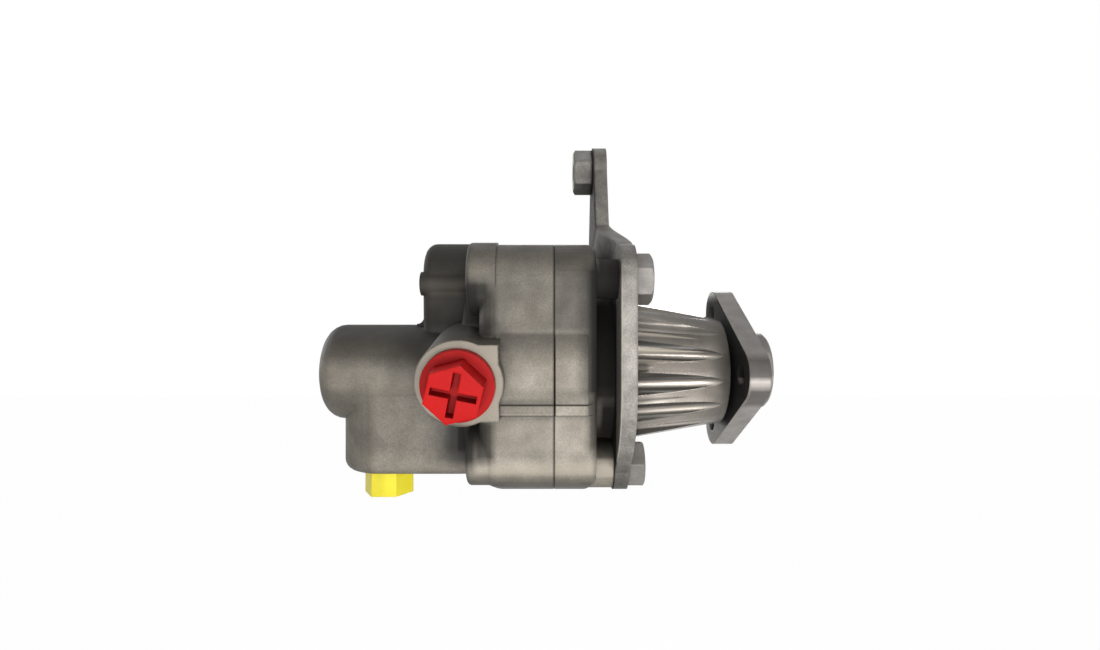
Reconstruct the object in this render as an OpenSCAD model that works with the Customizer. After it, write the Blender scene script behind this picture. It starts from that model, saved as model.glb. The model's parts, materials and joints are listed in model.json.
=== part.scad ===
// Vane type power steering pump with a fluted nose, a cranked bracket and a three lobe drive hub.
// The shaft lies along X with its drive end forward. +Z is up, the inlet faces -Y, the outlet -Z.
// The origin is on the shaft's axis at the face that the pulley seats on.

/* [Drive hub] */
// Thickness of the three lobe flange
hub_flange_t = 6.5; // [5:0.1:9]
// Radius of the circle through the pulley bolt holes
hub_bolt_circle_r = 22; // [20:0.5:26]
// Radius of each lobe's rounded end
hub_lobe_r = 8; // [7:0.25:10]
// Radius of the tapped pulley bolt holes
hub_hole_r = 3.4; // [2.5:0.1:4.2]
// Radius of the pulley pilot
hub_pilot_r = 12.5; // [10.5:0.25:14]
// Length of the pulley pilot
hub_pilot_len = 7.3; // [4:0.1:10]
// Radius of the sleeve behind the flange
hub_sleeve_r = 11; // [9.5:0.25:12]
// Length of the sleeve behind the flange
hub_sleeve_len = 7.5; // [4:0.1:8.5]
// Gap between the flange and the end of the nose
hub_gap = 1.7; // [1:0.1:4]

/* [Nose] */
// Length of the fluted nose in front of the bracket
nose_len = 32; // [30:0.5:45]
// Radius of the nose at the bracket
nose_base_r = 23; // [22:0.25:26]
// Radius of the nose at its end
nose_end_r = 17.5; // [16.5:0.25:20]
// Number of flutes around the nose
flute_count = 14; // [8:1:16]
// Radius of a flute's section at the bracket
flute_r = 4.6; // [2:0.1:5]
// Depth of a flute at the bracket
flute_depth = 2; // [0.8:0.1:2.4]
// Angle of the first flute above the line to the inlet side
flute_phase = -6.9; // [-20:0.1:20]
// Length of the smooth land at the end of the nose
nose_land = 2.6; // [2:0.1:8]

/* [Bracket] */
// Thickness of the bracket's sheet
plate_t = 4.5; // [3:0.1:6]
// Gap between the bracket and the front housing
plate_gap = 6.5; // [4:0.1:10]
// How far the arm is set back from the plate
arm_setback = 5; // [2:0.1:8]
// Lean of the arm from upright
arm_lean = 18; // [5:1:25]
// Distance from the shaft's axis to the arm's hole, across
arm_hole_y = 5; // [0:0.5:10]
// Distance from the shaft's axis to the arm's hole, up
arm_hole_z = 68; // [60:0.5:80]
// Radius of the arm's rounded end
arm_end_r = 8.2; // [7.5:0.1:11]
// Radius of the clearance hole in the far ear
ear_hole_r = 4.3; // [3:0.1:5]
// Radius of the far ear
ear_r = 9; // [7.5:0.25:12]
// Place of the far ear's hole across
ear_y = 43; // [42:0.5:50]
// Place of the far ear's hole, below the shaft's axis
ear_drop = 27; // [24:0.5:36]

/* [Housing] */
// Thickness of the front housing's block
front_t = 11.9; // [10:0.1:18]
// Thickness of the rear housing's main block
rear_t = 21.1; // [20.5:0.1:30]
// Radius of the round far side of both housings
drum_r = 36; // [34:0.25:40]
// Place of the flat side that faces the inlet
near_flat_y = 39; // [38:0.25:44]
// Radius of the near top corner
top_boss_r = 10; // [8.5:0.25:11]
// Radius of the near bottom corner
bottom_boss_r = 9.5; // [9:0.25:13]
// Length of the top corner boss behind the main block
top_boss_len = 3.3; // [1:0.1:10]
// Length of the bottom corner boss behind the main block
bottom_boss_len = 3.5; // [1:0.1:12]
// Rounding of the main block's rear edge
rear_round = 5; // [1:0.25:6]
// Bevel of the front housing's edge at the joint between the housings
joint_bevel = 0.4; // [0.2:0.05:1]
// Rounding of the front block's front edge
front_round = 2.5; // [0.5:0.25:4]
// Radius of the bulge on the near side
bulge_r = 41; // [39.5:0.25:45]
// Length of the upper lobe behind the main block
lobe_len = 19.6; // [14:0.1:26]
// Height of the upper lobe above the shaft's axis
lobe_top = 41.5; // [38:0.25:44]
// Radius of the upper lobe's round top
lobe_r = 11; // [9:0.25:13]

/* [Fasteners] */
// Place of the upper bracket bolt across
upper_bolt_y = -29; // [-30:0.25:-28]
// Place of the upper bracket bolt above the shaft's axis
upper_bolt_z = 28.5; // [27:0.25:31]
// Place of the lower bracket bolt across
lower_bolt_y = -13; // [-16:0.25:-8]
// Place of the lower bracket bolt, below the shaft's axis
lower_bolt_drop = 28.5; // [28.5:0.25:33]
// Place of the far bracket bolt across
far_bolt_y = 33; // [32:0.25:36]
// Radius of the bracket bolts
bolt_r = 4; // [3:0.1:4.5]
// Width across flats of the bracket bolts and the arm's nut
bolt_af = 13; // [11:0.1:15]
// Height of the bracket bolts' heads
bolt_head_h = 5.3; // [4:0.1:7]
// Thickness of the arm's nut
nut_h = 6.5; // [4:0.1:9]
// Radius of the tapped hole in the arm's nut
nut_hole_r = 3.4; // [2.5:0.1:4.2]
// Radius of the bosses under the bracket bolts
bolt_boss_r = 8; // [7:0.25:9]
// Radius of the housing screws
screw_r = 3; // [2:0.1:3.4]

/* [Vane pack] */
// Radius of the cavity that holds the pack
cavity_r = 28.5; // [27:0.25:29]
// Width of the cam ring and rotor
cam_w = 13; // [10:0.1:14]
// Smallest radius of the oval bore
cam_small_r = 21; // [20:0.1:22]
// Largest radius of the oval bore
cam_large_r = 23; // [22.5:0.1:24]
// Thickness of the front side plate
side_plate_t = 4; // [3:0.1:6]
// Thickness of the pressure plate
press_plate_t = 4.5; // [3:0.1:5]
// Height of the disc spring behind the pressure plate
disc_spring_h = 2.2; // [1.5:0.1:3]
// Thickness of a vane
vane_t = 1.6; // [1.2:0.1:2]
// Height of a vane along its slot
vane_h = 7.5; // [6:0.1:8]
// Free depth of a slot under a vane at rest
slot_spare = 1.3; // [1.2:0.1:2]

/* [Shaft line] */
// Radius of the shaft in its bearings
shaft_r = 7.5; // [6.5:0.1:8]
// Width of the ball bearing
bearing_w = 9; // [7:0.1:10]
// Outer radius of the ball bearing
bearing_r = 16; // [15:0.1:17]
// Radius of the bearing balls
ball_r = 2.6; // [2:0.1:2.8]
// Number of bearing balls
ball_count = 9; // [6:1:9]
// Outer radius of the shaft seal
seal_r = 13; // [12.2:0.1:13.6]
// Width of the shaft seal
seal_w = 7; // [5:0.1:8]
// Running clearance of turning and sliding pieces
run_gap = 0.05; // [0.02:0.01:0.1]
// Clearance round screws and seated pieces
seat_gap = 0.1; // [0.05:0.01:0.3]

/* [Flow valve] */
// Length of the valve cylinder behind the main block
valve_len = 50.5; // [50:0.1:65]
// Outer radius of the valve cylinder
valve_r = 15; // [14:0.25:17]
// Place of the valve's axis across
valve_y = -10; // [-11:0.25:-8]
// Radius of the valve's bore
valve_bore_r = 8; // [7:0.1:9]
// Length of the spool
spool_len = 24; // [20:0.1:26]

/* [Ports] */
// Distance from the valve cylinder's end to the outlet's axis
outlet_from_end = 18.75; // [18:0.25:26]
// Radius of the outlet boss
outlet_boss_r = 13.4; // [11:0.1:14]
// Depth of the outlet boss's face under the shaft's axis
outlet_drop = 30.2; // [30:0.1:38]
// Radius of the outlet's tapped bore
outlet_bore_r = 6; // [4:0.1:6.5]
// Distance of the inlet's axis behind the main block
inlet_behind = 4.3; // [3:0.1:6]
// Distance of the inlet's face from the shaft's axis
inlet_reach = 44.5; // [43:0.1:48]
// Downward tilt of the inlet
inlet_tilt = 12; // [0:1:16]
// Radius of the inlet boss
inlet_boss_r = 12; // [10.4:0.1:13]
// Radius of the inlet's tapped bore
inlet_bore_r = 7; // [5:0.1:7.5]
// Depth of the inlet's tapped bore
inlet_bore_depth = 12; // [10:0.1:13]
// Radius of the inlet plug's flange
inlet_flange_r = 9.9; // [9.2:0.1:10.3]
// Height of the inlet plug's head
inlet_head_h = 9.5; // [6:0.1:12]
// Width across flats of the outlet plug
outlet_plug_af = 13.4; // [12.8:0.1:15]
// Height of the outlet plug's head
outlet_head_h = 8.1; // [4:0.1:10]

/* [Hidden] */
vane_count = 10;
$fn = 64;

// Faces along X, from the hub rearwards
x_flange = -hub_flange_t;
x_nose = x_flange - hub_gap;
x_plate = x_nose - nose_len;
x_plate_back = x_plate - plate_t;
x_front = x_plate_back - plate_gap;
x_joint = x_front - front_t;
x_side = x_joint + side_plate_t;
x_cam_back = x_joint - cam_w;
x_press_back = x_cam_back - press_plate_t;
x_cavity = x_press_back - disc_spring_h;
x_back = x_joint - rear_t;
x_lobe = x_back - lobe_len;
x_valve_end = x_back - valve_len;
x_arm = x_plate - arm_setback;
x_arm_back = x_arm - plate_t;

// Shaft line
hub_sleeve_end = x_flange - hub_sleeve_len;
shaft_nose_r = shaft_r - 0.5;
seal_room = 1.5;
x_seal = hub_sleeve_end - seal_room;
x_seal_back = x_seal - seal_w;
web_t = 4;
web_bore_r = shaft_r + 3;
x_bearing = x_seal_back - web_t;
x_bearing_back = x_bearing - bearing_w;
circlip_t = 1.2;
circlip_depth = 1;
shoulder_len = 3;
x_shoulder = x_bearing_back - shoulder_len;
race_wall = 2.4;
ball_circle_r = (shaft_r + bearing_r) / 2;
bush_wall = 2;
bush_len = 11;
x_bush = x_joint + bush_len;
bush_hub_r = shaft_r + bush_wall + 4;
spline_r = shaft_r - 0.4;
spline_root_r = shaft_r - 1.1;
spline_teeth = 12;
x_rotor_clip = x_cam_back - circlip_t;
shaft_tail = 1.2;
x_shaft_end = x_rotor_clip - shaft_tail;

// Vane pack
pack_r = cavity_r - seat_gap;
bore_min_r = min(cam_small_r, cam_large_r);
rotor_r = bore_min_r - 0.25;
vane_tip_r = bore_min_r - 0.15;
vane_foot_r = vane_tip_r - vane_h;
slot_foot_r = vane_foot_r - slot_spare;
slot_gap = run_gap;
vane_side_gap = 0.04;
dowel_r = 1.5;
dowel_circle_r = (cam_small_r + pack_r) / 2;
seal_ring_r = 0.9;
seal_ring_circle_r = cavity_r + seal_ring_r + 1;

// Valve
valve_z = 0.4;
stop_inset = 1.8;
stop_t = 1.2;
stop_lip = 0.9;
x_stop_back = x_cavity - stop_inset - stop_t;
spool_r = valve_bore_r - run_gap;
x_spool = x_stop_back - 0.1;
x_spool_back = x_spool - spool_len;
valve_wall = 6;
x_bore_end = x_valve_end + valve_wall;
valve_wire_r = 0.8;
spring_pocket = 5;
relief_bore_r = 3.2;
relief_ball_r = 2;
x_relief_seat = x_spool - 5;
relief_seat_len = 3;
x_relief_ball = x_relief_seat - relief_seat_len - relief_ball_r - 0.1;
relief_spring_len = 4.5;

// Places of the fasteners, across and up
upper_bolt_at = [upper_bolt_y, upper_bolt_z];
lower_bolt_at = [lower_bolt_y, -lower_bolt_drop];
far_bolt_at = [far_bolt_y, -2];
screw_land = 2.5;
screw_circle_r = seal_ring_circle_r + seal_ring_r + screw_land + screw_r;
near_screw_y = bottom_boss_r - near_flat_y;
near_screw_at = [near_screw_y, -sqrt(screw_circle_r ^ 2 - near_screw_y ^ 2)];
far_screw_turn = 50;
far_screw_y = screw_circle_r * cos(far_screw_turn);
far_screw_z = screw_circle_r * sin(far_screw_turn);
screw_places = [near_screw_at, [far_screw_y, far_screw_z], [far_screw_y, -far_screw_z]];
bolt_places = [upper_bolt_at, lower_bolt_at, far_bolt_at];
top_boss_at = [top_boss_r - near_flat_y, upper_bolt_z];
ear_at = [ear_y, -ear_drop];
arm_hole_at = [arm_hole_y, arm_hole_z];
screw_head_r = screw_r * 1.67;
screw_head_h = screw_r * 2;
screw_grip = 14;
screw_len = front_t - screw_head_h + screw_grip;
short_bolt_len = plate_t + plate_gap + front_t - side_plate_t - 2;
upper_bolt_grip = 15;
upper_bolt_len = plate_t + plate_gap + front_t + upper_bolt_grip;
hole_play = 0.35;
upper_post_r = bolt_r + 1.8;
nut_collar_len = 2;
nut_collar_r = nut_hole_r + 1.5;

// Ports
outlet_x = x_valve_end + outlet_from_end;
inlet_x = x_back - inlet_behind;
inlet_z = -0.5;

// Points of an arc round c from angle a0 to a1
function arc(c, r, a0, a1, n = 6) =
    [for (i = [0:n]) c + r * [cos(a0 + (a1 - a0) * i / n), sin(a0 + (a1 - a0) * i / n)]];

// A smooth step from 0 to 1
function ease(t) = t * t * (3 - 2 * t);

// The part of a width across flats that is a polygon's corner radius
function corner_r(af) = af / 2 / cos(30);

// Draws an outline in Y and Z as a slab from x0 forward to x1
module slab(x0, x1) {
    translate([x0, 0, 0]) rotate([90, 0, 90]) linear_extrude(x1 - x0) children();
}

// A round bar along X from x0 forward to x1
module bar(x0, x1, r, at = [0, 0]) {
    translate([x0, at[0], at[1]]) rotate([0, 90, 0]) cylinder(h = x1 - x0, r = r);
}

// A tapered bar along X from radius r0 at x0 forward to r1 at x1
module taper(x0, x1, r0, r1, at = [0, 0]) {
    translate([x0, at[0], at[1]]) rotate([0, 90, 0]) cylinder(h = x1 - x0, r1 = r0, r2 = r1);
}

// A ring along X
module ring(x0, x1, inner, outer, at = [0, 0]) {
    difference() {
        bar(x0, x1, outer, at);
        bar(x0 - 1, x1 + 1, inner, at);
    }
}

// A revolved profile of radius and X about a line along X
module turned(at = [0, 0]) {
    translate([0, at[0], at[1]]) rotate([0, 90, 0]) rotate_extrude() children();
}

// A disc along X whose rear and front edges are rounded
module puck(x0, x1, r, at = [0, 0], rear = 0, front = 0) {
    rear_arc = rear > 0 ? arc([r - rear, x0 + rear], rear, -90, 0) : [[r, x0]];
    front_arc = front > 0 ? arc([r - front, x1 - front], front, 0, 90) : [[r, x1]];
    turned(at) polygon(concat([[0, x0]], rear_arc, front_arc, [[0, x1]]));
}

// A hexagonal bar along X with its outer end bevelled
module hex_bar(x0, x1, af, at, turn, bevel_front = true) {
    r = corner_r(af);
    bevel = r - af / 2;
    intersection() {
        translate([x0, at[0], at[1]]) rotate([turn, 0, 0]) rotate([0, 90, 0])
            cylinder(h = x1 - x0, r = r, $fn = 6);
        turned(at) polygon(bevel_front
            ? [[0, x0], [r, x0], [r, x1 - bevel * 0.6], [af / 2, x1], [0, x1]]
            : [[0, x0], [af / 2, x0], [r, x0 + bevel * 0.6], [r, x1], [0, x1]]);
    }
}

// A coil of round wire along X, as one swept tube
module coil(x0, x1, r, wire_r, turns, at = [0, 0], steps = 14, sides = 6) {
    n = turns * steps;
    pitch_len = x1 - x0 - 2 * wire_r;
    points = [for (i = [0:n], j = [0:sides - 1])
        let (a = 360 * i / steps, b = 360 * j / sides, q = r + wire_r * cos(b))
        [x0 + wire_r + pitch_len * i / n + wire_r * sin(b), at[0] + q * cos(a), at[1] + q * sin(a)]];
    skin = [for (i = [0:n - 1], j = [0:sides - 1])
        let (k = (j + 1) % sides)
        [i * sides + j, i * sides + k, (i + 1) * sides + k, (i + 1) * sides + j]];
    ends = [[for (j = [sides - 1:-1:0]) j], [for (j = [0:sides - 1]) n * sides + j]];
    polyhedron(points, concat(skin, ends));
}

// The rounded block that both housings share, from x0 forward to x1
module housing_block(x0, x1, rear, front) {
    hull() {
        $fn = 40;
        puck(x0, x1, top_boss_r, top_boss_at, rear, front);
        puck(x0, x1, bottom_boss_r, near_screw_at, rear, front);
        puck(x0, x1, bolt_boss_r, lower_bolt_at, rear, front);
        puck(x0, x1, drum_r, [0, 0], rear, front);
        puck(x0, x1, bolt_boss_r, far_bolt_at, rear, front);
        for (s = [-1, 1])
            puck(x0, x1, bolt_boss_r + 0.5, [far_screw_y, s * far_screw_z], rear, front);
    }
}

// The near side's bulge and the strip under it, from x0 forward to x1
module near_bulge(x0, x1) {
    bulge_top = 13.6;
    bulge_low = -9.6;
    strip_h = 3;
    strip_proud = 0.7;
    intersection() {
        bar(x0, x1, bulge_r);
        translate([x0, -bulge_r - 1, bulge_low]) cube([x1 - x0, bulge_r, bulge_top - bulge_low]);
    }
    translate([x0, -bulge_r - strip_proud + 1, bulge_low])
        cube([x1 - x0, bulge_r / 2, strip_h]);
}

// Places a drawing at the inlet's face: X forward, Y up, Z out of the port
module at_inlet() {
    translate([inlet_x, -inlet_reach, inlet_z]) rotate([90 + inlet_tilt, 0, 0]) children();
}

// Places a drawing at the outlet's face: Z out of the port, downwards
module at_outlet() {
    translate([outlet_x, valve_y, -outlet_drop]) rotate([180, 0, 0]) children();
}

// The nose's radius at a place along X
function nose_r(x) = nose_base_r + (nose_end_r - nose_base_r) * (x - x_plate) / nose_len;

// A round groove in the nose, depth deep at the bracket, that runs out at end_x
module flute(angle, r, depth, end_x) {
    start_x = x_plate - 1;
    start_z = nose_base_r + r - depth;
    run = end_x - start_x;
    rise = nose_r(end_x) + r - start_z;
    rotate([90 - angle, 0, 0]) translate([start_x, 0, start_z]) rotate([0, atan2(run, rise), 0])
        cylinder(h = norm([run, rise]) + r, r = r);
}

// Front housing: block, bosses up to the bracket and the fluted nose in one casting
module front_housing() {
    pocket_r = 2.2;
    pocket_depth = 1.2;
    pocket_len = 7.3;
    pocket_angle = flute_phase + 180 / flute_count;
    collar_r = nose_base_r + 1;
    boss_root = 4;
    boss_bevel = 0.5;
    color([0.62, 0.60, 0.57]) difference() {
        union() {
            housing_block(x_joint, x_front, joint_bevel, front_round);
            near_bulge(x_joint + joint_bevel, x_front - front_round);
            for (p = [lower_bolt_at, far_bolt_at])
                bar(x_front - boss_root, x_plate_back, bolt_boss_r - boss_bevel, p);
            bar(x_front - boss_root, x_plate_back, upper_post_r, upper_bolt_at);
            bar(x_front - boss_root, x_plate, collar_r);
            difference() {
                taper(x_plate, x_nose, nose_base_r, nose_end_r);
                for (i = [0:flute_count - 1])
                    flute(flute_phase + 360 * i / flute_count, flute_r, flute_depth, x_nose - nose_land);
                flute(pocket_angle, pocket_r, pocket_depth, x_plate + pocket_len);
            }
        }
        bar(x_seal_back, x_nose + 1, seal_r);
        bar(x_bearing - 1, x_seal_back + 1, web_bore_r);
        bar(x_joint - 1, x_bearing, bearing_r);
        bar(x_bearing_back - circlip_t - run_gap, x_bearing_back, bearing_r + circlip_depth);
        bar(x_joint - 1, x_side, cavity_r);
        turned() translate([seal_ring_circle_r, x_joint]) square(2 * seal_ring_r, center = true);
        bar(x_joint - 1, x_plate_back + 1, bolt_r + hole_play, upper_bolt_at);
        for (p = [lower_bolt_at, far_bolt_at])
            bar(x_plate - short_bolt_len - 1, x_plate_back + 1, bolt_r + seat_gap, p);
        for (p = screw_places) {
            bar(x_joint - 1, x_front + 1, screw_r + hole_play, p);
            bar(x_front - screw_head_h, x_plate_back, screw_head_r + hole_play, p);
        }
    }
}

// Rear housing: block, corner bosses, upper lobe, valve cylinder, outlet and inlet bosses
module rear_housing() {
    boss_edge = 1.2;
    boss_step = 0.6;
    cover_round = 3;
    lobe_round = 3.5;
    lobe_z = lobe_top - lobe_r;
    lobe_near = -8;
    lobe_far = 8;
    cover_r = drum_r - 3;
    cover_t = 6;
    dome_round = 5.5;
    block_round = 3.5;
    block_reach = 24;
    inlet_len = 24;
    inlet_side = 10.7;
    pad_r = 3.7;
    pad_proud = 0.4;
    rib_proud = 1;
    pad_drop = 2.4;
    pad_at = [lobe_near - lobe_r + pad_r - rib_proud, lobe_z - pad_drop];
    web_r = 2.4;
    web_lip = 0.2;
    web_half = 4;
    web_root = 1.2;
    gallery_r = 3.5;
    gallery_lift = 3;
    gallery_bite = 1.5;
    outlet_thread = 14;
    outlet_drill_r = 4;
    valve_at = [valve_y, valve_z];
    color([0.60, 0.58, 0.55]) difference() {
        union() {
            housing_block(x_back, x_joint, rear_round, 0);
            near_bulge(x_back + rear_round, x_joint);
            puck(x_back + rear_round, x_joint, top_boss_r, top_boss_at);
            puck(x_back + rear_round, x_joint, bottom_boss_r, near_screw_at);
            puck(x_back - top_boss_len, x_back + rear_round, top_boss_r + boss_step, top_boss_at, boss_edge);
            puck(x_back - bottom_boss_len, x_back + rear_round + 1, bottom_boss_r - boss_step,
                near_screw_at, boss_edge);
            puck(x_back - cover_t, x_joint, cover_r, [0, 0], cover_round);
            hull() {
                $fn = 36;
                puck(x_lobe, x_back + 2, lobe_r, [lobe_near, lobe_z], lobe_round);
                puck(x_lobe, x_back + 2, lobe_r, [lobe_far, lobe_z], lobe_round);
                puck(x_lobe, x_back + 2, lobe_r, [valve_y + 3, valve_z + 2], lobe_round);
            }
            bar(x_lobe - pad_proud, x_back, pad_r, pad_at);
            translate([x_lobe - web_r, valve_y - web_half, valve_z + valve_r - web_root]) difference() {
                cube([web_r + 1, 2 * web_half, web_r + web_root]);
                translate([0, -1, web_r + web_root]) rotate([-90, 0, 0])
                    cylinder(h = 2 * web_half + 2, r = web_r - web_lip);
            }
            puck(x_valve_end, x_back, valve_r, valve_at, dome_round);
            hull() {
                $fn = 36;
                for (x = [outlet_x, outlet_x + block_reach])
                    translate([x, valve_y, 0]) rotate([180, 0, 0]) rotate_extrude()
                        polygon(concat([[0, 0], [outlet_boss_r, 0]],
                            arc([outlet_boss_r - block_round, outlet_drop - block_round],
                                block_round, 0, 90),
                            [[0, outlet_drop]]));
            }
            at_inlet() {
                translate([0, 0, -inlet_len]) cylinder(h = inlet_len, r = inlet_boss_r);
                translate([0, -inlet_side, -inlet_len])
                    cube([inlet_side, 2 * inlet_side, inlet_len]);
            }
        }
        bar(x_cavity, x_joint + 1, cavity_r);
        bar(x_bore_end, x_cavity + 1, valve_bore_r, valve_at);
        bar(x_stop_back, x_stop_back + stop_t + run_gap, valve_bore_r + stop_lip, valve_at);
        at_outlet() {
            translate([0, 0, -outlet_thread]) cylinder(h = outlet_thread + 1, r = outlet_bore_r);
            translate([0, 0, -outlet_drop]) cylinder(h = outlet_drop, r = outlet_drill_r);
        }
        at_inlet() translate([0, 0, -inlet_bore_depth])
            cylinder(h = inlet_bore_depth + 1, r = inlet_bore_r);
        bar(inlet_x, x_cam_back, gallery_r,
            [-cavity_r - gallery_r + gallery_bite, inlet_z + gallery_lift]);
        bar(x_plate - upper_bolt_len - 1, x_joint + 1, bolt_r + seat_gap, upper_bolt_at);
        for (p = screw_places)
            bar(x_front - screw_head_h - screw_len - 1, x_joint + 1, screw_r + seat_gap, p);
    }
}

// The bracket's outline in Y and Z, plate and arm together
module bracket_outline() {
    lobe_r = bolt_boss_r;
    ring_r = nose_base_r + 9;
    near_edge = -near_flat_y - 1;
    corner_low = -4;
    near_curve = [[1.5, -11], [4, -16], [7.5, -20.5], [12, -24.5]];
    corner_in = 4.2;
    corner_up = 7.5;
    shoulder_y = -10;
    shoulder_z = 47.5;
    bite = 0.9;
    for (p = [lower_bolt_at, far_bolt_at]) translate(p) circle(r = lobe_r);
    translate([near_edge + lobe_r + 2, upper_bolt_z]) circle(r = lobe_r + 2);
    translate(ear_at) circle(r = ear_r);
    translate(arm_hole_at) circle(r = arm_end_r);
    circle(r = ring_r);
    polygon([
        [near_edge, upper_bolt_z],
        [near_edge, corner_low],
        for (p = near_curve) [near_edge + p[0], p[1]],
        lower_bolt_at + bite * lobe_r * [cos(195), sin(195)],
        lower_bolt_at + [0, -bite * lobe_r],
        ear_at + bite * ear_r * [cos(265), sin(265)],
        ear_at + bite * ear_r * [cos(-5), sin(-5)],
        far_bolt_at + [bite * lobe_r, 0],
        [27, 28],
        arm_hole_at + bite * arm_end_r * [cos(12), sin(12)],
        arm_hole_at + bite * arm_end_r * [cos(168), sin(168)],
        [shoulder_y, shoulder_z],
        [near_edge + corner_in, upper_bolt_z + corner_up],
    ]);
}

// Mounting bracket: a plate round the nose with an arm that is set back by a joggle
module mounting_bracket() {
    bend_low = 27;
    bend_run = 15;
    bend_lag = 1;
    bend_steps = 8;
    bend = [for (i = [0:bend_steps]) ease(i / bend_steps)];
    reach = arm_hole_z + 2 * arm_end_r + 10;
    width = 90;
    color([0.66, 0.65, 0.63]) difference() {
        intersection() {
            slab(x_arm_back, x_plate) bracket_outline();
            rotate([-arm_lean, 0, 0]) translate([0, width, 0]) rotate([90, 0, 0])
                linear_extrude(2 * width) polygon(concat(
                    [[x_plate_back, -reach], [x_plate, -reach]],
                    [for (i = [0:bend_steps])
                        [x_plate - arm_setback * bend[i], bend_low + bend_run * i / bend_steps]],
                    [[x_arm, reach], [x_arm_back, reach]],
                    [for (i = [bend_steps:-1:0])
                        [x_plate_back - arm_setback * bend[i],
                            bend_low - bend_lag + bend_run * i / bend_steps]]));
        }
        bar(x_arm_back - 1, x_plate + 1, nose_base_r + 1 + run_gap);
        for (p = bolt_places) bar(x_arm_back - 1, x_plate + 1, bolt_r + hole_play, p);
        bar(x_arm_back - 1, x_plate + 1, ear_hole_r, ear_at);
        bar(x_arm_back - 1, x_plate + 1, nut_collar_r + hole_play, arm_hole_at);
    }
}

// Nut welded to the back of the arm, with a collar that centres it in the arm's hole
module arm_nut() {
    color([0.62, 0.61, 0.60]) difference() {
        union() {
            hex_bar(x_arm_back - nut_h, x_arm_back, bolt_af, arm_hole_at, 12, false);
            bar(x_arm_back - 1, x_arm_back + nut_collar_len, nut_collar_r, arm_hole_at);
        }
        bar(x_arm_back - nut_h - 1, x_arm_back + nut_collar_len + 1, nut_hole_r, arm_hole_at);
    }
}

// A hexagon head bolt whose head bears on the bracket
module hex_bolt(at, len, turn) {
    point = 1;
    hex_bar(x_plate, x_plate + bolt_head_h, bolt_af, at, turn);
    bar(x_plate - len + point, x_plate, bolt_r, at);
    taper(x_plate - len, x_plate - len + point, bolt_r - point, bolt_r, at);
}

// Long bolt through the bracket and the front housing into the rear housing
module upper_bolt() {
    color([0.55, 0.54, 0.52]) hex_bolt(upper_bolt_at, upper_bolt_len, 8);
}

// Short bolts that hold the bracket on the front housing
module short_bolts() {
    color([0.55, 0.54, 0.52]) {
        hex_bolt(lower_bolt_at, short_bolt_len, 22);
        hex_bolt(far_bolt_at, short_bolt_len, 5);
    }
}

// Socket head screws that hold the two housings together
module housing_screws() {
    socket_af = screw_r * 1.67;
    x_seat = x_front - screw_head_h;
    color([0.35, 0.35, 0.36]) for (p = screw_places) difference() {
        union() {
            bar(x_seat, x_front, screw_head_r, p);
            bar(x_seat - screw_len, x_seat, screw_r, p);
        }
        translate([x_front - screw_r, p[0], p[1]]) rotate([0, 90, 0])
            cylinder(h = screw_r + 1, r = corner_r(socket_af), $fn = 6);
    }
}

// The hub flange's outline in Y and Z: three round lobes joined by straight sides
module hub_outline() {
    lobes = [180, 300, 420];
    for (a = lobes) translate(hub_bolt_circle_r * [cos(a), sin(a)]) circle(r = hub_lobe_r);
    polygon([for (a = lobes, b = [a - 60, a + 60])
        hub_bolt_circle_r * [cos(a), sin(a)] + hub_lobe_r * [cos(b), sin(b)]]);
}

// Drive hub: flange with tapped holes, pulley pilot and rear sleeve
module drive_hub() {
    pilot_bevel = 0.8;
    color([0.64, 0.63, 0.62]) difference() {
        union() {
            slab(x_flange, 0) hub_outline();
            bar(0, hub_pilot_len - pilot_bevel, hub_pilot_r);
            taper(hub_pilot_len - pilot_bevel, hub_pilot_len, hub_pilot_r, hub_pilot_r - pilot_bevel);
            bar(hub_sleeve_end, x_flange, hub_sleeve_r);
        }
        bar(hub_sleeve_end - 1, hub_pilot_len + 1, shaft_nose_r);
        for (a = [180, 300, 420])
            bar(x_flange - 1, 1, hub_hole_r, hub_bolt_circle_r * [cos(a), sin(a)]);
    }
}

// The splines' outline, opened by a clearance
module spline_outline(gap) {
    step = 360 / spline_teeth;
    spread = gap / spline_root_r * 180 / PI;
    polygon([for (i = [0:spline_teeth - 1], c = [[0.28, 0], [0.2, 1], [-0.2, 1], [-0.28, 0]])
        let (a = i * step - c[0] * step - sign(c[0]) * spread,
             r = gap + (c[1] == 1 ? spline_r : spline_root_r))
        r * [cos(a), sin(a)]]);
}

// Drive shaft: hub seat, bearing seat, shoulder, bush journal and splined tail
module drive_shaft() {
    shoulder_r = shaft_r + 2;
    end_inset = 2;
    end_bevel = 0.8;
    x_tip = hub_pilot_len - end_inset;
    centre_r = 1.6;
    centre_depth = 4;
    color([0.70, 0.70, 0.71]) difference() {
        union() {
            bar(hub_sleeve_end, x_tip - end_bevel, shaft_nose_r);
            taper(x_tip - end_bevel, x_tip, shaft_nose_r, shaft_nose_r - end_bevel);
            bar(x_joint + 1, hub_sleeve_end, shaft_r);
            bar(x_shoulder, x_bearing_back, shoulder_r);
            slab(x_shaft_end, x_joint + 1.5) spline_outline(0);
        }
        taper(x_tip - centre_depth, x_tip + 0.1, 0.2, centre_r);
        ring(x_rotor_clip, x_cam_back, spline_root_r - circlip_depth, shaft_r + 1);
        ring(x_bearing, x_bearing + circlip_t, shaft_r - circlip_depth, shaft_r + 1);
    }
}

// The groove that the balls run in, as a revolved circle
module ball_groove() {
    turned() translate([ball_circle_r, x_bearing - bearing_w / 2]) circle(r = ball_r + run_gap);
}

// Outer ring of the ball bearing
module bearing_outer_ring() {
    color([0.78, 0.78, 0.80]) difference() {
        ring(x_bearing_back, x_bearing, bearing_r - race_wall, bearing_r);
        ball_groove();
    }
}

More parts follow.
